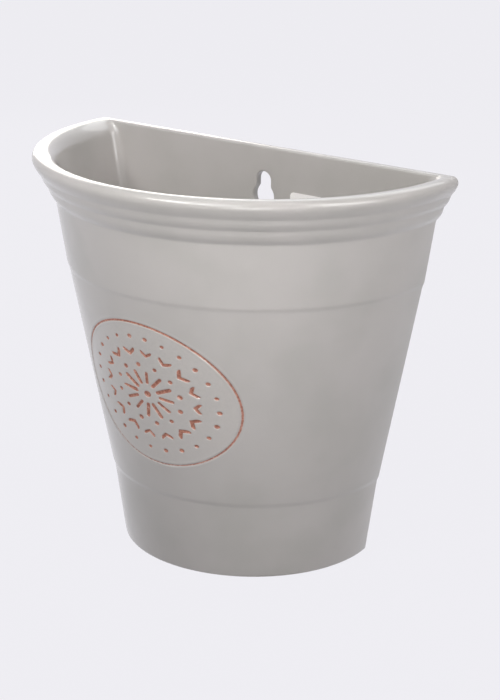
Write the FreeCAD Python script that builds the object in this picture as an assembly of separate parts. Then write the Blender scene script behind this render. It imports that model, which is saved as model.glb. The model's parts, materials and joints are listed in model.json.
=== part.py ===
import FreeCAD, Part
import math
import os

# Hanging wall vase in glazed ceramic: a turned, half-round body with a flat back, and a blank paper label.
# Millimetres. X runs along the wall, Y into it and Z up, and the wall is the plane Y = 0.
# The origin is where the hanging screw sits: the middle of the keyhole's rounded top, on the wall.
# The body is modelled standing at height 0, and hung from the screw at the end.

Vector = FreeCAD.Vector
UP = Vector(0, 0, 1)
AWAY_FROM_WALL = Vector(0, -1, 0)

# Where the body was turned: its axis stands this far in front of the wall
axis_offset = 13.4

# Heights of the turned bands, from the base up
foot_height = 49.0
belly_height = 129.3
neck_height = 40.9
bead_height = 8.8
ridge_height = 7.2
roll_height = 11.8

# The base's radius about the turning axis, how far each band flares out, and from the lip's nose to the mouth
base_radius = 80.6
foot_flare = 7.0
belly_flare = 26.5
neck_flare = 7.2
bead_flare = 4.8
ridge_flare = 4.2
roll_flare = 4.6
rim_width = 5.6

# The overhanging steps under the belly and the neck
step_depth = 1.1
step_height = 2.3

# How far each moulding stands out from the straight line between its two creases
bead_rise = 1.0
ridge_rise = 0.8

# The roll of the lip: its round edge, how far below the nose that runs before the underside takes over,
# and how far down inside the mouth its shoulder reaches
lip_round = 4.1
lip_under_angle = math.radians(25)
shoulder_depth = 9.5

# Walls, and the cavity's bevel round the floor and bend in the corners
wall = 6.2
back_wall = 5.5
floor_thickness = 8.0
floor_bevel = 9.0
corner_bend = 5.0

# The edges round the back and the base, broken by hand before the glaze
outer_edge_break = 1.0

# The keyhole in the back wall: the head goes in below, and the shank slides up the slot
slot_width = 10.6
entry_diameter = 15.6
hanging_depth = 21.2
head_drop = 10.2
keyhole_edge_break = 0.9

# The label on the inside of the back wall, right of the keyhole
label_width = 50.0
label_height = 30.0
label_thickness = 0.2
label_corner = 2.5
label_side_gap = 12.6
label_drop = 4.4

# How far a cutting shape runs past what it cuts, and how near counts as touching
overrun = 5.0
touching = 0.001

# Where along an edge it is sampled
sample_shares = (0, 0.25, 0.5, 0.75, 1)

# The creases' heights over the base, and the hanging screw's
foot_top = foot_height
belly_top = foot_top + belly_height
neck_top = belly_top + neck_height
bead_top = neck_top + bead_height
ridge_top = bead_top + ridge_height
height = ridge_top + roll_height
hanging_height = height - hanging_depth

# The creases' radii, and the lip's
foot_radius = base_radius + foot_flare
belly_radius = foot_radius + belly_flare
neck_radius = belly_radius + neck_flare
bead_radius = neck_radius + bead_flare
ridge_radius = bead_radius + ridge_flare
nose_radius = ridge_radius + roll_flare
mouth_radius = nose_radius - rim_width


def on_profile(radius, level):
    """A point of a turned outline, at a radius from the axis and a height over the base."""
    return Vector(radius, 0, level)


def line(start, end):
    return Part.LineSegment(start, end).toShape()


def arc(start, middle, end):
    return Part.Arc(start, middle, end).toShape()


def bulge(start, end, rise):
    """An arc from start to end that stands out from their chord, to the right of the way along it."""
    chord = end - start
    outwards = chord.cross(Vector(0, -1, 0)).normalize()
    return arc(start, (start + end) * 0.5 + outwards * rise, end)


def leaving(start, direction, end):
    """An arc from start to end that leaves start in the given direction."""
    chord = end - start
    turn = direction.getAngle(chord)
    side = (direction - chord * (direction.dot(chord) / chord.dot(chord))).normalize()
    rise = chord.Length / 2 * math.tan(turn / 2)
    return arc(start, (start + end) * 0.5 + side * rise, end)


def turned(edges):
    """The solid of revolution of a closed outline about the upright axis, with its seam on the wall's side."""
    outline = Part.Face(Part.Wire(edges))
    outline.rotate(Vector(0, 0, 0), UP, 90)
    solid = outline.revolve(Vector(0, 0, 0), UP, 360)
    solid.translate(AWAY_FROM_WALL * axis_offset)
    return solid


def in_front_of(distance):
    """A block that holds everything at least this far in front of the wall."""
    reach = nose_radius + axis_offset + overrun
    corner = Vector(-reach, -distance - reach, -overrun)
    return Part.makeBox(reach * 2, reach, height + overrun * 3, corner)


def body_outline():
    """The turned outside: foot, belly and neck with their steps, then bead, ridge and rolled lip."""
    base = on_profile(base_radius, 0)
    foot = on_profile(foot_radius, foot_top)
    under_belly = on_profile(foot_radius + step_depth, foot_top + step_height)
    belly = on_profile(belly_radius, belly_top)
    under_neck = on_profile(belly_radius + step_depth, belly_top + step_height)
    neck = on_profile(neck_radius, neck_top)
    bead = on_profile(bead_radius, bead_top)
    ridge = on_profile(ridge_radius, ridge_top)
    roll_centre = on_profile(nose_radius - lip_round, height - lip_round)
    under_nose = Vector(math.cos(lip_under_angle), 0, -math.sin(lip_under_angle))
    downwards = Vector(-math.sin(lip_under_angle), 0, -math.cos(lip_under_angle))
    under_lip = roll_centre + under_nose * lip_round
    nose = roll_centre + Vector(lip_round, 0, 0)
    crest = roll_centre + UP * lip_round
    middle = on_profile(0, height)
    bottom = on_profile(0, 0)
    return [
        line(bottom, base),
        line(base, foot),
        line(foot, under_belly),
        line(under_belly, belly),
        line(belly, under_neck),
        line(under_neck, neck),
        bulge(neck, bead, bead_rise),
        bulge(bead, ridge, ridge_rise),
        leaving(under_lip, downwards, ridge),
        arc(under_lip, nose, crest),
        line(crest, middle),
        line(middle, bottom),
    ]


def cavity_outline():
    """The turned inside: a floor with a bevel round it, a straight wall, and the lip's shoulder out to the mouth."""
    slope = Vector(neck_radius - foot_radius, 0, neck_top - foot_top).normalize()

    def on_wall(level):
        return on_profile(foot_radius - wall + slope.x / slope.z * (level - foot_top), level)

    top = height + overrun
    floor_end = on_wall(floor_thickness) - Vector(floor_bevel, 0, 0)
    wall_start = on_wall(floor_thickness + floor_bevel)
    wall_end = on_wall(height - shoulder_depth)
    mouth = on_profile(mouth_radius, height)
    over_mouth = on_profile(mouth_radius, top)
    middle = on_profile(0, top)
    bottom = on_profile(0, floor_thickness)
    return [
        line(bottom, floor_end),
        line(floor_end, wall_start),
        line(wall_start, wall_end),
        leaving(wall_end, slope, mouth),
        line(mouth, over_mouth),
        line(over_mouth, middle),
        line(middle, bottom),
    ]


def edges_where(shape, test):
    """The shape's edges that pass the test at their ends and at points between them."""
    chosen = []
    for edge in shape.Edges:
        if not edge.Degenerated:
            start, end = edge.ParameterRange
            samples = [edge.valueAt(start + (end - start) * share) for share in sample_shares]
            if all(test(point) for point in samples):
                chosen.append(edge)
    return chosen


def same(value, target):
    return abs(value - target) < touching


def rod(diameter, level):
    """A rod through the back wall, at a height over the base."""
    start = Vector(0, overrun, level)
    return Part.makeCylinder(diameter / 2, back_wall + overrun * 2, start, AWAY_FROM_WALL)


def cavity():
    """The hollow: the turned inside, cut flat at the back wall, with every inside corner rounded."""
    hollow = turned(cavity_outline()).common(in_front_of(back_wall))
    top = height + overrun
    corners = edges_where(hollow, lambda p: same(p.y, -back_wall))
    corners = [edge for edge in corners if edge.valueAt(sum(edge.ParameterRange) / 2).z < top - touching]
    return hollow.makeFillet(corner_bend, corners)


def keyhole():
    """The keyhole's cutting shape: a round entry, and a slot above it that ends in a half round."""
    entry_level = hanging_height - head_drop
    corner = Vector(-slot_width / 2, -back_wall - overrun, entry_level)
    slot = Part.makeBox(slot_width, back_wall + overrun * 2, head_drop, corner)
    return rod(entry_diameter, entry_level).fuse([slot, rod(slot_width, hanging_height)]).removeSplitter()


def pot_body():
    """The vase itself, in one piece: turned wall, rolled lip, back wall with its keyhole, and base."""
    body = turned(body_outline()).common(in_front_of(0)).cut(cavity())
    rim = edges_where(body, lambda p: same(p.y, 0) or same(p.z, 0))
    body = body.makeChamfer(outer_edge_break, rim)
    body = body.cut(keyhole())

    def round_keyhole(point):
        from_entry = math.hypot(point.x, point.z - hanging_height + head_drop)
        on_face = same(point.y, 0) or same(point.y, -back_wall)
        return on_face and from_entry < head_drop + slot_width

    return body.makeChamfer(keyhole_edge_break, edges_where(body, round_keyhole))


def label():
    """The blank paper label, flat on the inside of the back wall."""
    left = entry_diameter / 2 + label_side_gap
    top = hanging_height - label_drop
    corner = Vector(left, -back_wall - label_thickness, top - label_height)
    sheet = Part.makeBox(label_width, label_thickness, label_height, corner)
    corners = [edge for edge in sheet.Edges if same(edge.Length, label_thickness)]
    return sheet.makeFillet(label_corner, corners)


os.makedirs("parts", exist_ok=True)
for name, piece in (("pot_body", pot_body()), ("label", label())):
    piece.translate(-UP * hanging_height)
    piece.exportStep("parts/" + name + ".step")
    print(name, "solids", len(piece.Solids), "valid", piece.isValid(), "volume", round(piece.Volume))
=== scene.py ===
"""Dresses the hanging wall vase: its glazed body with the impressed oval, and its blank paper label."""
import json
import logging
import math
from dataclasses import dataclass
from enum import Enum
from typing import Any

import bmesh
import bpy
from mathutils import Matrix, Vector

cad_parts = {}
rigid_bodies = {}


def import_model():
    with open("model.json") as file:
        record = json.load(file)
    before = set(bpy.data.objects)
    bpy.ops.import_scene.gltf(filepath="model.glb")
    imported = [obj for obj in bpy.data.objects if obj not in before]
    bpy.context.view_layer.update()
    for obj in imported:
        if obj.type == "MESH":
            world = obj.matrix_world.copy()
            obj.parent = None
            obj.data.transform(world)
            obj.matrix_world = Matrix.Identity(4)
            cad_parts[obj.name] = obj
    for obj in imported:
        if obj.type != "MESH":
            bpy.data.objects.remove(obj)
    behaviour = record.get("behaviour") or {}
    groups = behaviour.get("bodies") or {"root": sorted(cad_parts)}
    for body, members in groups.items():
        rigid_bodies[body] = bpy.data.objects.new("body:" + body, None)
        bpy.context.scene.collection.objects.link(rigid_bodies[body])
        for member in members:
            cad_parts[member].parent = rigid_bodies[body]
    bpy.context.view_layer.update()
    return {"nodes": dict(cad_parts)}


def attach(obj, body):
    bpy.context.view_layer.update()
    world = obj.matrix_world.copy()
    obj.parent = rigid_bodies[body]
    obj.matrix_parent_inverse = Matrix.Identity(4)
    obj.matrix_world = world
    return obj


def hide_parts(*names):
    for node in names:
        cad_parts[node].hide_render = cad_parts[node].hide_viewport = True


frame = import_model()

LOG = logging.getLogger("wall_vase")

Colour = tuple[float, float, float, float]
Triple = tuple[float, float, float]
Layer = bmesh.types.BMLayerItem

# Sizes are written in millimetres, and this turns them into the scene's metres
MM = 0.001

# The hung vase in the row's frame: the hanging screw is the origin, and the base is this far under it
BASE_LEVEL = -225.8

# The turning axis stands this far in front of the wall
AXIS = -13.4

# The front columns reach this far round from the middle, to both sides, and stand finer there
FRONT_TURN = math.radians(37.5)

# How a screen's level becomes light: straight up to the knee, and a power above it
SCREEN_KNEE = 0.04045
SCREEN_SLOPE = 12.92
SCREEN_LIFT = 0.055
SCREEN_SCALE = 1.055
SCREEN_POWER = 2.4

# Cloudy noise seldom leaves this range
NOISE_LOW = 0.3
NOISE_HIGH = 0.7

# A share that something is divided by is kept at least this large
LEAST_SHARE = 0.001


def linear(red: int, green: int, blue: int) -> Colour:
    """A screen colour as the shader wants it.

    Args:
        red: The red level, 0 to 255.
        green: The green level, 0 to 255.
        blue: The blue level, 0 to 255.

    Returns:
        The linear colour with full opacity.
    """
    def open_up(level: int) -> float:
        """One channel, opened up.

        Args:
            level: Its level, 0 to 255.

        Returns:
            Its share of the light.
        """
        share = level / 255
        curved = ((share + SCREEN_LIFT) / SCREEN_SCALE) ** SCREEN_POWER
        return share / SCREEN_SLOPE if share <= SCREEN_KNEE else curved

    return open_up(red), open_up(green), open_up(blue), 1.0


def smooth(value: float, low: float, high: float) -> float:
    """A soft step from 0 at low to 1 at high.

    Args:
        value: Where on the step.
        low: Where the step starts.
        high: Where it ends.

    Returns:
        The height of the step.
    """
    share = min(max((value - low) / (high - low), 0.0), 1.0)
    return share * share * (3 - 2 * share)


def steps(start: float, end: float, count: int) -> list[float]:
    """Even steps from start to end, both in.

    Args:
        start: The first value.
        end: The last value.
        count: How many steps lie between them.

    Returns:
        The values.
    """
    return [start + (end - start) * index / count for index in range(count + 1)]


@dataclass(frozen=True)
class Fade:
    """A soft step in a finish.

    Attributes:
        low: Where it starts.
        high: Where it ends, which may lie under low.
        start: The value before it.
        end: The value after it.
    """

    low: float
    high: float
    start: float = 0.0
    end: float = 1.0


def about(middle: float, change: float) -> Fade:
    """A fade over cloudy noise, from a little under a value to a little over it."""
    return Fade(NOISE_LOW, NOISE_HIGH, middle - change, middle + change)


class Trait(Enum):
    """What the body's mesh stores at its vertices for the glaze to read."""

    RELIEF = "relief"
    CARVING = "carving"
    WASH = "wash"


class Part(Enum):
    """The parts of the body's outline, seen from above."""

    FRONT = "front"
    SIDE = "side"
    CORNER = "corner"
    BACK = "back"


@dataclass(frozen=True)
class Column:
    """One upright line of vertices.

    Attributes:
        part: The part of the outline that it stands on.
        side: 1 for the right of the middle, -1 for the left.
        share: How far along that part; an angle from the middle for FRONT.
    """

    part: Part
    side: int
    share: float


@dataclass(frozen=True)
class Ring:
    """One level of the body's outline, in millimetres.

    Attributes:
        radius: The turned radius.
        level: The height over the base.
        back: Where the flat back stands, 0 on the wall and below 0 in front of it.
        corner: The radius of the bend between the two.
    """

    radius: float
    level: float
    back: float
    corner: float

    def place(self, column: Column) -> Vector:
        """Where a column meets this level.

        Args:
            column: The column.

        Returns:
            The point, in metres in the row's frame.
        """
        behind = self.back - AXIS - self.corner
        across = math.sqrt((self.radius - self.corner) ** 2 - behind ** 2)
        lean = math.atan2(behind, across)
        if column.part in (Part.FRONT, Part.SIDE):
            turn = column.share
            if column.part is Part.SIDE:
                turn = FRONT_TURN + column.share * (math.pi / 2 + lean - FRONT_TURN)
            x = self.radius * math.sin(turn)
            y = AXIS - self.radius * math.cos(turn)
        elif column.part is Part.CORNER:
            bend = lean + column.share * (math.pi / 2 - lean)
            x = across + self.corner * math.cos(bend)
            y = AXIS + behind + self.corner * math.sin(bend)
        else:
            x = across * column.share
            y = self.back
        return Vector((x * column.side, y, BASE_LEVEL + self.level)) * MM


class Wire:
    """A shader socket that takes part in sums."""

    def __init__(self, nodes: "Nodes", socket: bpy.types.NodeSocket | None) -> None:
        """Keeps the socket and the tree it belongs to.

        Args:
            nodes: The tree's builder.
            socket: The output socket, or none for a node that has none.
        """
        self.nodes = nodes
        self.socket = socket

    def join(self, operation: str, first: "Wire | float", second: "Wire | float") -> "Wire":
        """A Math node on two values.

        Args:
            operation: The Math node's operation.
            first: The first value or wire.
            second: The second value or wire.

        Returns:
            The result.
        """
        return self.nodes.add("ShaderNodeMath", {"operation": operation}, {0: first, 1: second})

    def __add__(self, other: "Wire | float") -> "Wire":
        """self + other."""
        return self.join("ADD", self, other)

    def __radd__(self, other: "Wire | float") -> "Wire":
        """other + self."""
        return self.join("ADD", other, self)

    def __sub__(self, other: "Wire | float") -> "Wire":
        """self - other."""
        return self.join("SUBTRACT", self, other)

    def __rsub__(self, other: "Wire | float") -> "Wire":
        """other - self."""
        return self.join("SUBTRACT", other, self)

    def __mul__(self, other: "Wire | float") -> "Wire":
        """self * other."""
        return self.join("MULTIPLY", self, other)

    def __rmul__(self, other: "Wire | float") -> "Wire":
        """other * self."""
        return self.join("MULTIPLY", other, self)

    def at_least(self, other: "Wire | float") -> "Wire":
        """The higher of two values."""
        return self.join("MAXIMUM", self, other)


class Nodes:
    """Builds one node tree."""

    def __init__(self, tree: bpy.types.NodeTree) -> None:
        """Empties the tree.

        Args:
            tree: The tree to build in.
        """
        self.tree = tree
        tree.nodes.clear()

    def add(
        self,
        kind: str,
        settings: dict[str, Any] | None = None,
        sockets: dict[str | int, Any] | None = None,
        output: str | int = 0,
    ) -> Wire:
        """Adds a node.

        Args:
            kind: The node's type.
            settings: Its own settings, such as a Math node's operation.
            sockets: Values or wires for its inputs, by name or number.
            output: The output to hand back, by name or number.

        Returns:
            That output.
        """
        node = self.tree.nodes.new(kind)
        for name, value in (settings or {}).items():
            setattr(node, name, value)
        for name, value in (sockets or {}).items():
            if isinstance(value, Wire):
                self.tree.links.new(value.socket, node.inputs[name])
            else:
                node.inputs[name].default_value = value
        return Wire(self, node.outputs[output] if len(node.outputs) else None)

    def mix(self, share: Wire | float, first: Wire | Colour, second: Wire | Colour) -> Wire:
        """Mixes two colours.

        Args:
            share: How much of the second.
            first: The first colour.
            second: The second colour.

        Returns:
            The mixed colour.
        """
        settings = {"data_type": "RGBA", "blend_type": "MIX", "clamp_factor": True}
        return self.add("ShaderNodeMix", settings, {0: share, 6: first, 7: second}, 2)

    def step(self, value: Wire, fade: Fade) -> Wire:
        """A soft step.

        Args:
            value: Where on the step.
            fade: The step.

        Returns:
            The height of the step.
        """
        sockets = {"Value": value, "From Min": fade.low, "From Max": fade.high}
        sockets.update({"To Min": fade.start, "To Max": fade.end})
        return self.add("ShaderNodeMapRange", {"interpolation_type": "SMOOTHSTEP"}, sockets)

    def noise(self, place: Wire, size: float, detail: float = 2.0, roughness: float = 0.5) -> Wire:
        """Cloudy noise.

        Args:
            place: The coordinates.
            size: The clouds' size in millimetres.
            detail: How many finer layers.
            roughness: How strong those are.

        Returns:
            The noise, about 0.5 on average.
        """
        sockets = {"Vector": place, "Scale": 1 / (size * MM), "Detail": detail, "Roughness": roughness}
        return self.add("ShaderNodeTexNoise", {"noise_dimensions": "3D"}, sockets)

    def bump(self, height: Wire, depth: float, under: Wire | None = None) -> Wire:
        """Relief that only shades.

        Args:
            height: The relief, from 0 to 1.
            depth: Its depth in millimetres.
            under: The relief that it lies on.

        Returns:
            The normal.
        """
        sockets = {"Strength": 1.0, "Distance": depth * MM, "Height": height}
        if under:
            sockets["Normal"] = under
        return self.add("ShaderNodeBump", None, sockets)

    def trait(self, trait: Trait) -> Wire:
        """What the mesh stores at its vertices."""
        return self.add("ShaderNodeAttribute", {"attribute_name": trait.value}, None, "Fac")

    def place(self) -> Wire:
        """The object's own coordinates."""
        return self.add("ShaderNodeTexCoord", None, None, "Object")


def new_material(name: str) -> tuple[bpy.types.Material, Nodes]:
    """A node material with an empty tree.

    Args:
        name: The material's name.

    Returns:
        The material and its tree's builder.
    """
    material = bpy.data.materials.new(name)
    material.use_nodes = True
    return material, Nodes(material.node_tree)


def new_object(name: str, data: bpy.types.ID) -> bpy.types.Object:
    """An object in the scene, at the origin.

    Args:
        name: The object's name.
        data: Its mesh, lamp or camera.

    Returns:
        The object.
    """
    thing = bpy.data.objects.new(name, data)
    bpy.context.collection.objects.link(thing)
    return thing


def mesh_from(name: str, bm: bmesh.types.BMesh, material: bpy.types.Material) -> bpy.types.Mesh:
    """A finished mesh with its material.

    Args:
        name: The mesh's name.
        bm: The mesh in the making, which is freed.
        material: The finish.

    Returns:
        The mesh.
    """
    mesh = bpy.data.meshes.new(name)
    bm.to_mesh(mesh)
    bm.free()
    mesh.materials.append(material)
    return mesh


def numbered_circle(bm: bmesh.types.BMesh, count: int, order: Layer) -> tuple[list, list]:
    """A loop of vertices, numbered in their order round it.

    Args:
        bm: The mesh.
        count: How many vertices.
        order: The layer that holds the numbers.

    Returns:
        The loop's vertices and edges.
    """
    verts = bmesh.ops.create_circle(bm, cap_ends=False, radius=1.0, segments=count)["verts"]
    for vert in verts:
        vert[order] = round(math.atan2(vert.co.y, vert.co.x) / math.tau * count) % count
    loop = set(verts)
    return verts, [edge for edge in bm.edges if edge.verts[0] in loop]


def grow(bm: bmesh.types.BMesh, edges: list) -> tuple[list, list]:
    """Extrudes a loop of edges, in place.

    Args:
        bm: The mesh.
        edges: The loop's edges.

    Returns:
        The new loop's vertices and edges.
    """
    grown = bmesh.ops.extrude_edge_only(bm, edges=edges)["geom"]
    verts = [item for item in grown if isinstance(item, bmesh.types.BMVert)]
    return verts, [item for item in grown if isinstance(item, bmesh.types.BMEdge)]


@dataclass(frozen=True)
class Glaze:
    """A glossy warm grey glaze over red clay, whitewashed and rubbed back in the impressed oval."""

    # The glaze; a cream on the edges, partly where it thins and partly painted highlight; and painted shade
    # that darkens the creases
    body: Colour = linear(187, 182, 179)
    cloud: Colour = linear(179, 175, 171)
    thinned_and_highlit_edge: Colour = linear(214, 206, 193)
    painted_crease_shade: Colour = linear(176, 171, 167)
    cloud_fade: Fade = Fade(0.35, 0.65)
    thinned_and_highlit_fade: Fade = Fade(0.25, 1.0, 0.0, 0.6)
    painted_crease_shade_fade: Fade = Fade(-0.15, -0.9, 0.0, 0.8)

    # The oval's whitewash, and the clay that is bare in its lines
    wash: Colour = linear(194, 188, 184)
    clay: Colour = linear(186, 128, 108)
    dark_clay: Colour = linear(150, 96, 80)
    scumble: Colour = linear(205, 190, 178)
    wash_fade: Fade = Fade(0.2, 0.7, 0.35, 0.75)
    clay_fade: Fade = Fade(0.42, 0.62)
    scumble_fade: Fade = Fade(0.38, 0.28, 0.0, 0.7)
    bare_fade: Fade = Fade(0.3, 0.62)
    bare_wear: float = 0.3

    # How large the clouds and the wear are, and the two reliefs under the shine
    cloud_size: float = 60.0
    wear_size: float = 1.7
    wave_size: float = 45.0
    wave_depth: float = 0.5
    peel_size: float = 2.6
    peel_depth: float = 0.012

    # The shine, and what the bare clay takes off it
    roughness: float = 0.34
    roughness_change: float = 0.04
    coat_roughness: float = 0.04
    coat_weight: float = 0.8
    dull_fade: Fade = Fade(0.2, 0.7)
    dull_roughness: float = 0.3
    dull_coat: float = 0.8

    def colour(self, nodes: Nodes, place: Wire) -> Wire:
        """The colour over the surface.

        Args:
            nodes: The tree's builder.
            place: The object's coordinates.

        Returns:
            The colour.
        """
        clouds = nodes.step(nodes.noise(place, self.cloud_size, detail=3.0), self.cloud_fade)
        relief = nodes.trait(Trait.RELIEF)
        worn = nodes.noise(place, self.wear_size, detail=3.0, roughness=0.6)
        washed = nodes.trait(Trait.WASH) * nodes.step(worn, self.wash_fade)
        bared = nodes.step(nodes.trait(Trait.CARVING) + worn * self.bare_wear, self.bare_fade)
        colour = nodes.mix(clouds, self.body, self.cloud)
        # Edges turn cream: partly the glaze thinning there, partly a painted highlight
        colour = nodes.mix(nodes.step(relief, self.thinned_and_highlit_fade), colour, self.thinned_and_highlit_edge)
        # Creases turn darker: painted shade, not a different glaze
        colour = nodes.mix(nodes.step(relief, self.painted_crease_shade_fade), colour, self.painted_crease_shade)
        colour = nodes.mix(washed, colour, self.wash)
        clay = nodes.mix(nodes.step(worn, self.clay_fade), self.clay, self.dark_clay)
        clay = nodes.mix(nodes.step(worn, self.scumble_fade), clay, self.scumble)
        return nodes.mix(bared, colour, clay)

    def make(self) -> bpy.types.Material:
        """Builds the material.

        Returns:
            The material.
        """
        material, nodes = new_material("glazed_ceramic_finish")
        place = nodes.place()
        clouds = nodes.noise(place, self.cloud_size)
        bared = nodes.step(nodes.trait(Trait.CARVING), self.dull_fade)
        rough = nodes.step(clouds, about(self.roughness, self.roughness_change))
        swell = nodes.bump(nodes.noise(place, self.wave_size, detail=1.0), self.wave_depth)
        shader = nodes.add("ShaderNodeBsdfPrincipled", None, {
            "Base Color": self.colour(nodes, place),
            "Roughness": rough + bared * self.dull_roughness,
            "Coat Weight": self.coat_weight - bared * (self.coat_weight * self.dull_coat),
            "Coat Roughness": self.coat_roughness,
            "Normal": nodes.bump(nodes.noise(place, self.peel_size), self.peel_depth, swell),
        })
        nodes.add("ShaderNodeOutputMaterial", None, {"Surface": shader})
        return material


@dataclass(frozen=True)
class Paper:
    """Plain uncoated white paper with a faint fibre."""

    sheet: Colour = linear(249, 245, 243)
    fibre: Colour = linear(242, 238, 235)
    fibre_size: float = 0.7
    fibre_fade: Fade = Fade(0.35, 0.7)
    fibre_relief: float = 0.05
    cockle_size: float = 14.0
    cockle_depth: float = 0.2
    roughness: float = 0.75
    roughness_change: float = 0.08

    def make(self) -> bpy.types.Material:
        """Builds the material.

        Returns:
            The material.
        """
        material, nodes = new_material("label_paper_finish")
        place = nodes.place()
        fibres = nodes.noise(place, self.fibre_size, detail=4.0, roughness=0.7)
        cockle = nodes.noise(place, self.cockle_size, detail=1.0)
        shader = nodes.add("ShaderNodeBsdfPrincipled", None, {
            "Base Color": nodes.mix(nodes.step(fibres, self.fibre_fade), self.sheet, self.fibre),
            "Roughness": nodes.step(fibres, about(self.roughness, self.roughness_change)),
            "Normal": nodes.bump(cockle + fibres * self.fibre_relief, self.cockle_depth),
        })
        nodes.add("ShaderNodeOutputMaterial", None, {"Surface": shader})
        return material


@dataclass(frozen=True)
class MarkRing:
    """A ring of strokes, dots or chevrons about the oval's middle, in millimetres.

    Attributes:
        count: How many marks.
        radius: How far out their middles lie.
        width: Half a mark's width.
        length: Half a mark's length, 0 for a dot.
        lean: How far each mark leans from the spoke through it, in radians.
        bend: How steeply its two halves slope, 0 for a straight one.
        start: Where the first one lies, as a share of the spacing.
        lean_change: How far the lean changes from mark to mark, as by hand.
        lean_beat: How fast it changes, in radians a mark.
        size_change: How far the size changes from mark to mark.
        size_beat: How fast that changes.
        slope: How much of the half width its side slopes down over.
    """

    count: int
    radius: float
    width: float
    length: float = 0.0
    lean: float = 0.0
    bend: float = 0.0
    start: float = 0.0
    lean_change: float = 0.08
    lean_beat: float = 2.3
    size_change: float = 0.12
    size_beat: float = 1.7
    slope: float = 0.75

    def depth(self, reach: float, turn: float) -> float:
        """How deep the marks are at a place.

        Args:
            reach: The distance from the middle.
            turn: The angle about it.

        Returns:
            The depth, as a share of the full one.
        """
        spacing = math.tau / self.count
        order = math.floor(turn / spacing + self.start)
        swing = turn - (order + 0.5 - self.start) * spacing
        along = reach * math.cos(swing) - self.radius
        across = reach * math.sin(swing)
        lean = self.lean + self.lean_change * math.sin(order * self.lean_beat)
        size = 1 + self.size_change * math.sin(order * self.size_beat + self.radius)
        way = along * math.cos(lean) + across * math.sin(lean)
        sloped = self.bend * (abs(way) - self.length / 2)
        beside = across * math.cos(lean) - along * math.sin(lean) + sloped
        past = max(abs(way) - self.length * size, 0.0)
        away = math.hypot(beside / math.hypot(1.0, self.bend), past)
        return smooth(1 - away / (self.width * size), 0.0, self.slope)


@dataclass(frozen=True)
class Oval:
    """The impressed oval on the front: a groove, and rings of strokes, dots and chevrons inside it."""

    centre_x: float = -1.7
    centre_z: float = -108.5
    half_width: float = 57.0
    half_height: float = 45.35
    tilt: float = -0.11

    # The groove, the burr that it throws up on both sides, and how deep the marks are
    groove_depth: float = 0.55
    groove_width: float = 0.62
    burr_height: float = 0.14
    burr_place: float = 1.5
    burr_width: float = 0.7
    mark_depth: float = 0.9

    # The dot in the middle
    dot_radius: float = 2.7
    dot_slope: float = 0.5

    # How much bare clay the groove shows, which changes on the way round
    bare_ring: float = 0.64
    bare_change: float = 0.24
    bare_turn: float = 0.2

    # Where the whitewash starts and is full, and where the finer mesh ends, all measured from the groove
    wash_start: float = 1.0
    wash_full: float = -2.5
    margin: float = 4.0

    rings: tuple[MarkRing, ...] = (
        MarkRing(count=12, radius=12.0, width=1.5, length=4.0, start=0.5),
        MarkRing(count=12, radius=20.8, width=2.0),
        MarkRing(count=16, radius=29.5, width=1.45, length=3.1, lean=math.pi / 2, bend=0.75, start=0.5),
        MarkRing(count=24, radius=40.5, width=1.8, start=0.5),
    )

    def outside(self, x: float, z: float) -> float:
        """How far a place is outside the groove's middle line.

        Args:
            x: Its place across the front, in millimetres.
            z: Its height in the row's frame.

        Returns:
            The distance, below 0 inside.
        """
        across, up = self.turned(x, z)
        share = math.hypot(across, up)
        steepness = math.hypot(across / self.half_width, up / self.half_height) / max(share, LEAST_SHARE)
        return (share - 1) / steepness

    def turned(self, x: float, z: float) -> tuple[float, float]:
        """A place in the oval's own directions.

        Args:
            x: Its place across the front, in millimetres.
            z: Its height in the row's frame.

        Returns:
            The place across and up the oval, each as a share of the half-axis.
        """
        x -= self.centre_x
        z -= self.centre_z
        across = x * math.cos(self.tilt) + z * math.sin(self.tilt)
        up = z * math.cos(self.tilt) - x * math.sin(self.tilt)
        return across / self.half_width, up / self.half_height

    def carve(self, x: float, z: float) -> tuple[float, float, float]:
        """The carving at a place on the front.

        Args:
            x: Its place across the front, in millimetres.
            z: Its height in the row's frame.

        Returns:
            The depth in millimetres, how much bare clay shows, and how much of the wash.
        """
        off = self.outside(x, z)
        groove = math.exp(-((off / self.groove_width) ** 2))
        burr = math.exp(-(((abs(off) - self.burr_place) / self.burr_width) ** 2))
        across, up = self.turned(x, z)
        mean = math.sqrt(self.half_width * self.half_height)
        reach = math.hypot(across, up) * mean
        turn = math.atan2(up, across)
        mark = max(ring.depth(reach, turn) for ring in self.rings)
        mark = max(mark, smooth(1 - reach / self.dot_radius, 0.0, self.dot_slope))
        depth = self.groove_depth * groove + self.mark_depth * mark - self.burr_height * burr
        bare = self.bare_ring + self.bare_change * math.sin(turn + self.bare_turn)
        return depth, max(groove * bare, mark), smooth(off, self.wash_start, self.wash_full)


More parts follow.
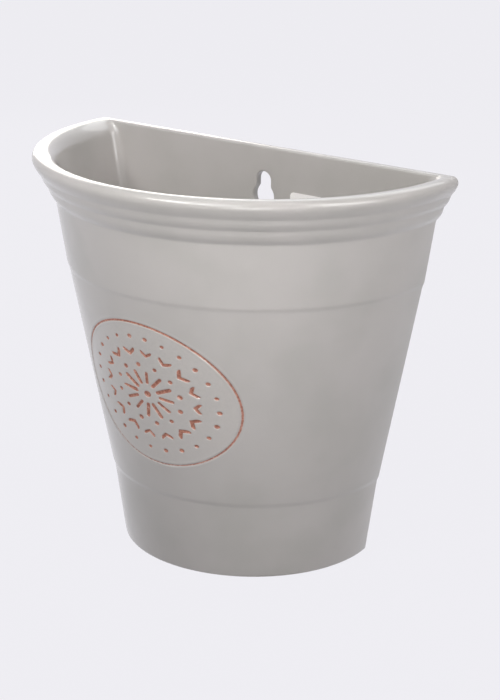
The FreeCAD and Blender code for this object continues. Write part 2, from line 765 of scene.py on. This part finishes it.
@dataclass(frozen=True)
class Keyhole:
    """The hole in the back wall: a round entry for the head, and a slot above it for the shank."""

    slot_radius: float = 5.3
    entry_radius: float = 7.8
    drop: float = 10.2
    edge_round: float = 1.0
    back_wall: float = 5.5

    # How many steps round the slot's end, up its sides, round the entry and over the edge
    slot_steps: int = 24
    side_steps: int = 4
    entry_steps: int = 32
    edge_steps: int = 5

    # The window in the back's mesh that the hole is set in, and how flat a face lies to be part of it
    window_half_width: float = 13.0
    window_below: float = 24.0
    window_above: float = 10.5
    flatness: float = 0.999

    def outline(self, wider: float) -> list[tuple[float, float]]:
        """The hole's outline.

        Args:
            wider: How far outside the hole's own outline it runs.

        Returns:
            Its points across and up from the slot's middle, in millimetres.
        """
        slot = self.slot_radius + wider
        entry = self.entry_radius + wider
        meet = math.acos(slot / entry)
        turns = steps(0.0, math.pi, self.slot_steps)
        top = [(slot * math.cos(turn), slot * math.sin(turn)) for turn in turns]
        low = entry * math.sin(meet) - self.drop
        left = [(-slot, low * share) for share in steps(0.0, 1.0, self.side_steps)][1:-1]
        turns = steps(math.pi - meet, math.tau + meet, self.entry_steps)
        bottom = [(entry * math.cos(turn), entry * math.sin(turn) - self.drop) for turn in turns]
        right = [(slot, low * share) for share in steps(1.0, 0.0, self.side_steps)][1:-1]
        points = top + left + bottom + right
        return [soften(points, index) for index in range(len(points))]

    def rows(self) -> list[tuple[float, float]]:
        """The loops that the hole is drawn through, over one rounded edge and out over the other.

        Returns:
            How far outside the hole's own outline each runs, and where through the wall.
        """
        bends = steps(0.0, math.pi / 2, self.edge_steps)
        lead = [(1 - math.sin(bend), 1 - math.cos(bend)) for bend in bends]
        rows = [(wide * self.edge_round, -deep * self.edge_round) for wide, deep in lead]
        return rows + [(wide, -self.back_wall - depth) for wide, depth in reversed(rows)]

    def cut(self, bm: bmesh.types.BMesh, order: Layer) -> None:
        """Cuts the hole through the back wall.

        Args:
            bm: The body, with its back in flat faces inside and out.
            order: The layer that holds the vertices' order round a loop.
        """
        window = [face for face in bm.faces if self.holds(face)]
        bmesh.ops.delete(bm, geom=window, context="FACES")
        border = [edge for edge in bm.edges if len(edge.link_faces) == 1]
        middle = -self.back_wall * MM / 2
        behind = [edge for edge in border if edge.verts[0].co.y > middle]
        before = [edge for edge in border if edge.verts[0].co.y < middle]
        verts, edges = numbered_circle(bm, len(self.outline(0.0)), order)
        first = edges
        for number, (wider, depth) in enumerate(self.rows()):
            if number:
                verts, edges = grow(bm, edges)
            self.lay(verts, order, wider, depth)
        bmesh.ops.triangle_fill(bm, use_beauty=True, edges=behind + first, normal=(0, 1, 0))
        bmesh.ops.triangle_fill(bm, use_beauty=True, edges=before + edges, normal=(0, -1, 0))

    def holds(self, face: bmesh.types.BMFace) -> bool:
        """Whether a face of the back lies in the window round the hole.

        Args:
            face: The face.

        Returns:
            True when all of it does.
        """
        flat = abs(face.normal.y) > self.flatness
        middle = all(abs(vert.co.x) < self.window_half_width * MM for vert in face.verts)
        level = all(-self.window_below * MM < vert.co.z < self.window_above * MM for vert in face.verts)
        return flat and middle and level

    def lay(self, verts: list, order: Layer, wider: float, depth: float) -> None:
        """Lays a loop of vertices on the outline.

        Args:
            verts: The loop's vertices.
            order: The layer that holds their order.
            wider: How far outside the hole's own outline.
            depth: Where through the wall, in millimetres.
        """
        points = self.outline(wider)
        for vert in verts:
            across, up = points[vert[order]]
            vert.co = Vector((across, depth, up)) * MM


def soften(points: list[tuple[float, float]], index: int) -> tuple[float, float]:
    """A point of a closed outline, pulled halfway to the middle of its neighbours."""
    before, here, after = points[index - 1], points[index], points[(index + 1) % len(points)]
    return tuple((a + 2 * b + c) / 4 for a, b, c in zip(before, here, after))


@dataclass(frozen=True)
class PotBody:
    """The vase's body in one piece: turned wall, rolled lip, flat back and base.

    Its outline runs from the base up the outside, over the lip and down the inside to the floor.
    Each point of it is a vector of radius, level, back and corner, as in Ring.
    """

    # The turned outside: each crease's radius and its height over the base
    base_radius: float = 80.6
    foot: tuple[float, float] = (87.6, 49.0)
    under_belly: tuple[float, float] = (88.7, 51.3)
    belly: tuple[float, float] = (114.1, 178.3)
    under_neck: tuple[float, float] = (115.2, 180.6)
    neck: tuple[float, float] = (121.3, 219.2)
    bead: tuple[float, float] = (126.1, 228.0)
    ridge: tuple[float, float] = (130.3, 235.2)
    bead_rise: float = 1.0
    ridge_rise: float = 0.8

    # The rolled lip and its domed shoulder down to the inner wall
    nose_radius: float = 134.9
    lip_round: float = 4.1
    lip_under_angle: float = math.radians(25)
    height: float = 247.0
    mouth_radius: float = 129.3
    shoulder_depth: float = 9.5

    # The walls, the floor, and the bends between the round wall and the flat back
    wall: float = 6.2
    back_wall: float = 5.5
    back_edge: float = 1.6
    floor: float = 8.0
    floor_bevel: float = 9.0
    outer_corner: float = 1.3
    inner_corner: float = 5.0

    # Bends under this radius are the outside's, and none is tighter than the least
    outer_bend: float = 2.0
    least_bend: float = 0.15

    # How finely the outline is worked out, how far the glaze softens it, and how its bends are measured
    grain: float = 0.2
    softness: float = 0.9
    bend_reach: float = 0.8
    bend_gain: float = 1.6

    # The rings' spacing on straight runs, at bends and at the oval, and how wide the fine strip at an edge is
    coarse: float = 4.5
    fine: float = 0.65
    oval_spacing: float = 1.3
    support: float = 3.0

    # The oval's stretch, as shares of the way up the belly, and a level just under the keyhole's window
    oval_start: float = 0.145
    oval_end: float = 0.9
    window_level: float = 199.5

    # How many columns each part has, and where the last ones stand before the outer corner
    front_columns: int = 102
    side_columns: int = 26
    corner_columns: int = 6
    back_columns: int = 22
    last_side: float = 0.985
    last_back: float = 0.988

    # How many times each edge at the oval is cut
    cuts: int = 2

    def outside(self, radius: float, level: float) -> Vector:
        """A point of the outline on the outside."""
        return Vector((radius, level, 0.0, self.outer_corner))

    def inside(self, radius: float, level: float) -> Vector:
        """A point of the outline on the inside."""
        return Vector((radius, level, -self.back_wall, self.inner_corner))

    def on_wall(self, level: float) -> Vector:
        """A point of the outline on the inner wall."""
        slope = (self.neck[0] - self.foot[0]) / (self.neck[1] - self.foot[1])
        return self.inside(self.foot[0] - self.wall + slope * (level - self.foot[1]), level)

    def on_roll(self, turn: float) -> Vector:
        """A point on the lip's roll, where the top of the back wall rounds off to match.

        Args:
            turn: The angle up from its nose.

        Returns:
            The outline's point.
        """
        centre = Vector((self.nose_radius - self.lip_round, self.height - self.lip_round))
        radius = centre.x + self.lip_round * math.cos(turn)
        level = centre.y + self.lip_round * math.sin(turn)
        edge = self.outer_corner
        above = max(level - (self.height - edge), 0.0)
        return Vector((radius, level, math.sqrt(max(edge * edge - above * above, 0.0)) - edge, edge))

    def next_to(self, start: Vector, end: Vector) -> Vector:
        """The point where the fine run at start ends, on the way to end."""
        return start.lerp(end, self.support / 2 / abs(end.y - start.y))

    def hollowed(self, points: list[Vector]) -> list[Vector]:
        """Rounds the back wall's inner face at its top edge and at the floor.

        Args:
            points: Dense points of the inside.

        Returns:
            The points, with the back set for each one's level.
        """
        edge, corner = self.back_edge, self.inner_corner
        for point in points:
            above = max(point.y - (self.height - edge), 0.0)
            below = max(self.floor + corner - point.y, 0.0)
            top = edge - math.sqrt(max(edge * edge - above * above, 0.0))
            foot = corner - math.sqrt(max(corner * corner - below * below, 0.0))
            point.z = top - foot - self.back_wall
        return points

    def straight(self, start: Vector, end: Vector) -> list[Vector]:
        """The dense points of a straight run.

        Args:
            start: Its first point.
            end: Its last point.

        Returns:
            The points, without the first.
        """
        count = max(round((end.xy - start.xy).length / self.grain), 2)
        return [start.lerp(end, index / count) for index in range(1, count + 1)]

    def arched(self, start: Vector, end: Vector, rise: float) -> list[Vector]:
        """The dense points of an arc that stands out from its chord.

        Args:
            start: Its first point.
            end: Its last point.
            rise: How far it stands out to the right of the way along it.

        Returns:
            The points, without the first.
        """
        chord = end.xy - start.xy
        half = chord.length / 2
        radius = (half * half + rise * rise) / (2 * abs(rise))
        sweep = 2 * math.atan2(abs(rise), half)
        outwards = Vector((chord.y, -chord.x)).normalized() * math.copysign(1, rise)
        centre = (start.xy + end.xy) / 2 - outwards * (radius - abs(rise))
        points = []
        for point in self.straight(start, end):
            share = (point.xy - start.xy).length / chord.length
            turn = sweep * (2 * share - 1)
            spot = centre + (outwards * math.cos(turn) + chord.normalized() * math.sin(turn)) * radius
            points.append(Vector((spot.x, spot.y, point.z, point.w)))
        return points

    def leaving(self, start: Vector, direction: Vector, end: Vector) -> list[Vector]:
        """The dense points of an arc that leaves its start in a direction.

        Args:
            start: Its first point.
            direction: The direction, across and up.
            end: Its last point.

        Returns:
            The points, without the first.
        """
        chord = end.xy - start.xy
        turn = chord.angle_signed(direction)
        return self.arched(start, end, chord.length / 2 * math.tan(turn / 2))

    def arriving(self, start: Vector, end: Vector, direction: Vector) -> list[Vector]:
        """The dense points of an arc that would leave its end, on the way back, in a direction."""
        return list(reversed(self.leaving(end, direction, start)[:-1])) + [end]

    def outer_runs(self) -> list[tuple[list[Vector], float]]:
        """The outline's runs on the outside, from the base to the top of the lip.

        Returns:
            Each run's dense points, and the spacing of its rings.
        """
        foot, under_belly = self.outside(*self.foot), self.outside(*self.under_belly)
        belly, under_neck = self.outside(*self.belly), self.outside(*self.under_neck)
        neck, bead, ridge = self.outside(*self.neck), self.outside(*self.bead), self.outside(*self.ridge)
        base = self.outside(self.base_radius, 0.0)
        inset = Vector((self.base_radius - self.support, 0.0, -self.support, self.outer_corner))
        near_base, near_foot = self.next_to(base, foot), self.next_to(foot, base)
        over_step, under_step = self.next_to(under_belly, belly), self.next_to(belly, under_belly)
        over_neck, near_bead = self.next_to(under_neck, neck), self.next_to(neck, under_neck)
        oval_low = under_belly.lerp(belly, self.oval_start)
        oval_high = under_belly.lerp(belly, self.oval_end)
        turns = steps(-self.lip_under_angle, math.pi / 2, round(self.lip_round * 2 / self.grain))
        lip = [self.on_roll(turn) for turn in turns]
        down = Vector((-math.sin(self.lip_under_angle), -math.cos(self.lip_under_angle)))
        low, high = self.coarse, self.fine
        return [
            ([inset] + self.straight(inset, base), high),
            (self.straight(base, near_base), high),
            (self.straight(near_base, near_foot), low),
            (self.straight(near_foot, foot), high),
            (self.arriving(foot, under_belly, under_belly.xy - belly.xy), high),
            (self.straight(under_belly, over_step), high),
            (self.straight(over_step, oval_low), low),
            (self.straight(oval_low, oval_high), self.oval_spacing),
            (self.straight(oval_high, under_step), low),
            (self.straight(under_step, belly), high),
            (self.arriving(belly, under_neck, under_neck.xy - neck.xy), high),
            (self.straight(under_neck, over_neck), high),
            (self.straight(over_neck, near_bead), low),
            (self.straight(near_bead, neck), high),
            (self.arched(neck, bead, self.bead_rise), high),
            (self.arched(bead, ridge, self.ridge_rise), high),
            (self.arriving(ridge, lip[0], down) + lip[1:], high),
        ]

    def inner_runs(self) -> list[tuple[list[Vector], float]]:
        """The outline's runs on the inside, from the top of the lip to the floor.

        Returns:
            Each run's dense points, and the spacing of its rings.
        """
        crest = self.on_roll(math.pi / 2)
        mouth = self.hollowed([self.inside(self.mouth_radius, self.height)])[0]
        shoulder = self.on_wall(self.height - self.shoulder_depth)
        window = self.on_wall(self.window_level)
        wall_low = self.on_wall(self.floor + self.floor_bevel)
        slope = (shoulder.xy - wall_low.xy).normalized()
        floor = self.on_wall(self.floor) - Vector((self.floor_bevel, 0.0, 0.0, 0.0))
        bevel = self.hollowed(self.straight(wall_low, floor))
        inner = bevel[-1] - Vector((self.support, 0.0, self.support, 0.0))
        low, high = self.coarse, self.fine
        return [
            (self.straight(crest, mouth), high),
            (self.hollowed(self.arriving(mouth, shoulder, slope)), high),
            (self.straight(shoulder, window), low / 2),
            (self.straight(window, wall_low), low * 2),
            (bevel, high * 2),
            (self.straight(bevel[-1], inner), high * 2),
        ]

    def softened(self, dense: list[Vector]) -> list[Vector]:
        """Rounds the outline's edges and creases, as the glaze does.

        Args:
            dense: The outline's dense points.

        Returns:
            The softened points.
        """
        # The squares of the passes add up, and each pass spreads a point by half a grain squared
        for _ in range(round(2 * (self.softness / self.grain) ** 2)):
            middle = [(dense[i - 1] + dense[i] * 2 + dense[i + 1]) / 4 for i in range(1, len(dense) - 1)]
            dense = [dense[0]] + middle + [dense[-1]]
        return dense

    def bend_at(self, dense: list[Vector], index: int) -> float:
        """How far the outline turns outwards at one of its points.

        Args:
            dense: The outline's dense points.
            index: Which of them.

        Returns:
            1 at an edge, -1 in a crease and 0 on a straight run.
        """
        gap = round(self.bend_reach / self.grain)
        before, after = dense[max(index - gap, 0)], dense[min(index + gap, len(dense) - 1)]
        way, on = dense[index].xy - before.xy, after.xy - dense[index].xy
        if min(way.length, on.length) <= self.grain:
            return 0.0
        return max(min(-way.angle_signed(on) * self.bend_gain, 1.0), -1.0)

    def ring_at(self, point: Vector) -> Ring:
        """The ring at a point of the outline, with a tighter outer corner where the back stands in."""
        inset = point.z if point.w < self.outer_bend else 0.0
        return Ring(point.x, point.y, point.z, max(point.w + inset, self.least_bend))

    def rings(self) -> list[tuple[Ring, float]]:
        """The rings that the body is drawn through.

        Returns:
            Each ring, and how far its outline turns outwards there: 1 at an edge, -1 in a crease.
        """
        dense: list[Vector] = []
        picks = {0}
        for points, spacing in self.outer_runs() + self.inner_runs():
            last = len(dense) - 1
            dense += points
            count = max(round(len(points) * self.grain / spacing), 1)
            picks |= {last + round(len(points) * index / count) for index in range(1, count + 1)}
        dense = self.softened(dense)
        return [(self.ring_at(dense[index]), self.bend_at(dense, index)) for index in sorted(picks)]

    def columns(self) -> list[Column]:
        """The columns round the body, in order.

        Returns:
            The columns, starting at the front's left end.
        """
        sides = steps(0.0, self.last_side, self.side_columns)[1:] + [1.0]
        bends = steps(0.0, 1.0, self.corner_columns)[1:-1]
        backs = [1.0, self.last_back] + steps(1.0, 0.0, self.back_columns // 2)[1:]
        turns = steps(-FRONT_TURN, FRONT_TURN, self.front_columns)
        front = [Column(Part.FRONT, 1, turn) for turn in turns]
        right = [Column(Part.SIDE, 1, share) for share in sides]
        right += [Column(Part.CORNER, 1, share) for share in bends]
        right += [Column(Part.BACK, 1, share) for share in backs]
        left = [Column(column.part, -1, column.share) for column in reversed(right[:-1])]
        return front + right + left

    def build(self, oval: Oval, keyhole: Keyhole) -> bpy.types.Object:
        """Builds the body.

        Args:
            oval: The impressed oval.
            keyhole: The hole in the back.

        Returns:
            The body's object, with the glaze on it.
        """
        bm = bmesh.new()
        order = bm.verts.layers.int.new("order")
        traits = {trait: bm.verts.layers.float.new(trait.value) for trait in Trait}
        columns = self.columns()
        verts, edges = numbered_circle(bm, len(columns), order)
        lowest = edges
        for number, (ring, bend) in enumerate(self.rings()):
            if number:
                verts, edges = grow(bm, edges)
            for vert in verts:
                vert.co = ring.place(columns[vert[order]])
                vert[traits[Trait.RELIEF]] = bend
        bmesh.ops.triangle_fill(bm, use_beauty=True, edges=lowest, normal=(0, 0, -1))
        bmesh.ops.triangle_fill(bm, use_beauty=True, edges=edges, normal=(0, 0, 1))
        bmesh.ops.recalc_face_normals(bm, faces=bm.faces)
        bm.normal_update()
        keyhole.cut(bm, order)
        bmesh.ops.recalc_face_normals(bm, faces=bm.faces)
        self.carve(bm, oval, traits)
        bm.verts.layers.int.remove(order)
        mesh = mesh_from("body", bm, Glaze().make())
        mesh.shade_smooth()
        return new_object("glazed_body", mesh)

    def carve(self, bm: bmesh.types.BMesh, oval: Oval, traits: dict[Trait, Layer]) -> None:
        """Sinks the oval into the front.

        Args:
            bm: The body.
            oval: The oval.
            traits: The layers for what the glaze reads.
        """
        faces = [face for face in bm.faces if self.bears(oval, face.calc_center_median())]
        edges = list(dict.fromkeys(edge for face in faces for edge in face.edges))
        bmesh.ops.subdivide_edges(bm, edges=edges, cuts=self.cuts, use_grid_fill=True)
        for vert in bm.verts:
            if self.bears(oval, vert.co):
                depth, clay, washed = oval.carve(vert.co.x / MM, vert.co.z / MM)
                turn = math.atan2(vert.co.x, AXIS * MM - vert.co.y)
                radius = (self.belly_radius(vert.co.z) - depth) * MM
                vert.co.x = radius * math.sin(turn)
                vert.co.y = AXIS * MM - radius * math.cos(turn)
                vert[traits[Trait.CARVING]] = clay
                vert[traits[Trait.WASH]] = washed

    def bears(self, oval: Oval, point: Vector) -> bool:
        """Whether a point is on the outside, at the oval.

        Args:
            oval: The oval.
            point: The point, in metres.

        Returns:
            True inside the oval's margin.
        """
        reach = math.hypot(point.x, point.y - AXIS * MM) / MM
        outer = reach > self.belly_radius(point.z) - self.support
        return outer and point.y < AXIS * MM and oval.outside(point.x / MM, point.z / MM) < oval.margin

    def belly_radius(self, z: float) -> float:
        """The belly's radius at a height in the row's frame.

        Args:
            z: The height in metres.

        Returns:
            The radius in millimetres.
        """
        share = (z / MM - BASE_LEVEL - self.under_belly[1]) / (self.belly[1] - self.under_belly[1])
        return self.under_belly[0] + (self.belly[0] - self.under_belly[0]) * share


@dataclass(frozen=True)
class Label:
    """The blank paper label on the inside of the back wall, in the shape that the solids give it."""

    paper: Paper = Paper()

    def dress(self) -> bpy.types.Object:
        """Gives the label its paper.

        Returns:
            The label's object.
        """
        label = frame["nodes"]["label"]
        finish = self.paper.make()
        for slot in label.material_slots:
            slot.material = finish
        return label


@dataclass(frozen=True)
class Lamp:
    """A soft rectangular studio lamp, in metres.

    Attributes:
        name: Its name.
        place: Where it stands.
        aim: What it points at.
        size: Its width and height.
        power: Its power in watts.
        colour: Its colour.
        spread: How wide its beam opens, in degrees.
    """

    name: str
    place: Triple
    aim: Triple
    size: tuple[float, float]
    power: float
    colour: Triple = (1.0, 1.0, 1.0)
    spread: float = 180.0

    def hang(self) -> None:
        """Adds the lamp to the scene."""
        light = bpy.data.lights.new(self.name, "AREA")
        light.shape = "RECTANGLE"
        light.size, light.size_y = self.size
        light.energy = self.power
        light.color = self.colour
        light.spread = math.radians(self.spread)
        place = Vector(self.place)
        turn = (Vector(self.aim) - place).to_track_quat("-Z", "Y")
        new_object(self.name, light).matrix_world = Matrix.Translation(place) @ turn.to_matrix().to_4x4()


@dataclass(frozen=True)
class Studio:
    """The pale room: floor, world, lamps and the camera at the photograph's place."""

    # The room's colour, how much of it the floor glows with, and how strongly floor and room light the vase
    pale: Colour = linear(239, 238, 243)
    floor_size: float = 12.0
    floor_glow: float = 0.98
    floor_bounce: float = 0.28
    fill: float = 0.1

    # The camera: its lens and film in millimetres, its place in metres, and its own right and up
    lens: float = 96.35
    sensor: float = 36.0
    place: Triple = (0.65913, -0.90950, 0.26369)
    right: Triple = (0.80200, 0.59720, 0.01180)
    up: Triple = (-0.19808, 0.24726, 0.94849)

    lamps: tuple[Lamp, ...] = (
        Lamp("overhead", (-0.15, -0.35, 1.05), (0.0, -0.05, -0.1), (1.3, 1.1), 3.5),
        Lamp("back_top", (-0.1, 0.75, 0.9), (0.0, -0.05, 0.0), (1.2, 0.6), 4.4, (0.95, 0.98, 1.0)),
        Lamp("back_left", (-0.95, 0.75, 0.4), (0.0, -0.06, -0.05), (0.6, 0.9), 4.0, (1.0, 0.95, 0.86)),
        Lamp("left_window", (-0.241, -1.365, 0.8), (0.0, -0.06, -0.02), (0.5, 0.1), 7.0, (1.0, 1.0, 0.98)),
        Lamp("right_window", (1.351, -0.413, 0.751), (0.0, -0.06, -0.02), (0.5, 0.1), 3.0),
        Lamp("near", (0.15, -0.75, 0.38), (0.02, -0.04, 0.13), (0.5, 0.3), 0.5, (0.97, 0.99, 1.0), 70.0),
        Lamp("right", (1.2, -0.2, 0.25), (0.0, -0.06, 0.02), (0.6, 0.6), 5.1, (1.0, 1.0, 0.99)),
        Lamp("low", (0.5, -0.8, -0.1), (0.0, -0.12, 0.06), (0.4, 0.15), 0.13, (1.0, 1.0, 0.99), 40.0),
    )

    def seen(self, nodes: Nodes) -> Wire:
        """Whether the camera looks at it, straight, in a gloss or through a clear piece.

        Args:
            nodes: The tree's builder.

        Returns:
            1 when it does, 0 when the ray only lights the vase.
        """
        kinds = ("Is Camera Ray", "Is Glossy Ray", "Is Transmission Ray")
        camera, gloss, clear = (nodes.add("ShaderNodeLightPath", None, None, kind) for kind in kinds)
        return camera.at_least(gloss).at_least(clear)

    def floor_finish(self) -> bpy.types.Material:
        """The floor's pale finish, which keeps the vase's shadow.

        Returns:
            The material.
        """
        material, nodes = new_material("floor_finish")
        shown = nodes.add("ShaderNodeBsdfDiffuse", None, {"Color": self.pale})
        glow = nodes.add("ShaderNodeEmission", None, {"Color": self.pale, "Strength": 1.0})
        lit = nodes.add("ShaderNodeMixShader", None, {0: self.floor_glow, 1: shown, 2: glow})
        bounce = tuple(channel * self.floor_bounce for channel in self.pale[:3]) + (1.0,)
        dark = nodes.add("ShaderNodeBsdfDiffuse", None, {"Color": bounce})
        surface = nodes.add("ShaderNodeMixShader", None, {0: self.seen(nodes), 1: dark, 2: lit})
        nodes.add("ShaderNodeOutputMaterial", None, {"Surface": surface})
        return material

    def lay_floor(self) -> None:
        """Lays the floor at the vase's base."""
        bm = bmesh.new()
        bmesh.ops.create_grid(bm, x_segments=1, y_segments=1, size=self.floor_size / 2)
        bmesh.ops.translate(bm, verts=bm.verts, vec=(0, 0, BASE_LEVEL * MM))
        floor = new_object("floor", mesh_from("floor", bm, self.floor_finish()))

    def paint_world(self) -> None:
        """Makes the world pale to the camera and a soft fill for the vase."""
        world = bpy.data.worlds.new("room")
        world.use_nodes = True
        nodes = Nodes(world.node_tree)
        shown = nodes.add("ShaderNodeBackground", None, {"Color": self.pale, "Strength": 1.0})
        fill = nodes.add("ShaderNodeBackground", None, {"Color": self.pale, "Strength": self.fill})
        surface = nodes.add("ShaderNodeMixShader", None, {0: self.seen(nodes), 1: fill, 2: shown})
        nodes.add("ShaderNodeOutputWorld", None, {"Surface": surface})
        bpy.context.scene.world = world

    def set_camera(self) -> None:
        """Puts the camera where the photograph was taken from."""
        data = bpy.data.cameras.new("camera")
        data.sensor_width = self.sensor
        data.sensor_fit = "AUTO"
        data.lens = self.lens
        right, up = Vector(self.right), Vector(self.up)
        turn = Matrix((right, up, right.cross(up))).transposed().to_4x4()
        camera = new_object("camera", data)
        camera.matrix_world = Matrix.Translation(self.place) @ turn
        bpy.context.scene.camera = camera

    def build(self) -> None:
        """Builds the whole studio."""
        self.set_camera()
        self.lay_floor()
        self.paint_world()
        for lamp in self.lamps:
            lamp.hang()
        bpy.context.scene.view_settings.view_transform = "Standard"


def main() -> None:
    """Builds the studio and the vase, and logs both pieces' face counts."""
    logging.basicConfig(level=logging.INFO, format="%(message)s")
    Studio().build()
    body = PotBody().build(Oval(), Keyhole())
    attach(body, "root")
    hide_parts("pot_body")
    LOG.info("glazed body: %d faces", len(body.data.polygons))
    label = Label().dress()
    LOG.info("paper label: %d faces", len(label.data.polygons))


if __name__ == "__main__":
    main()
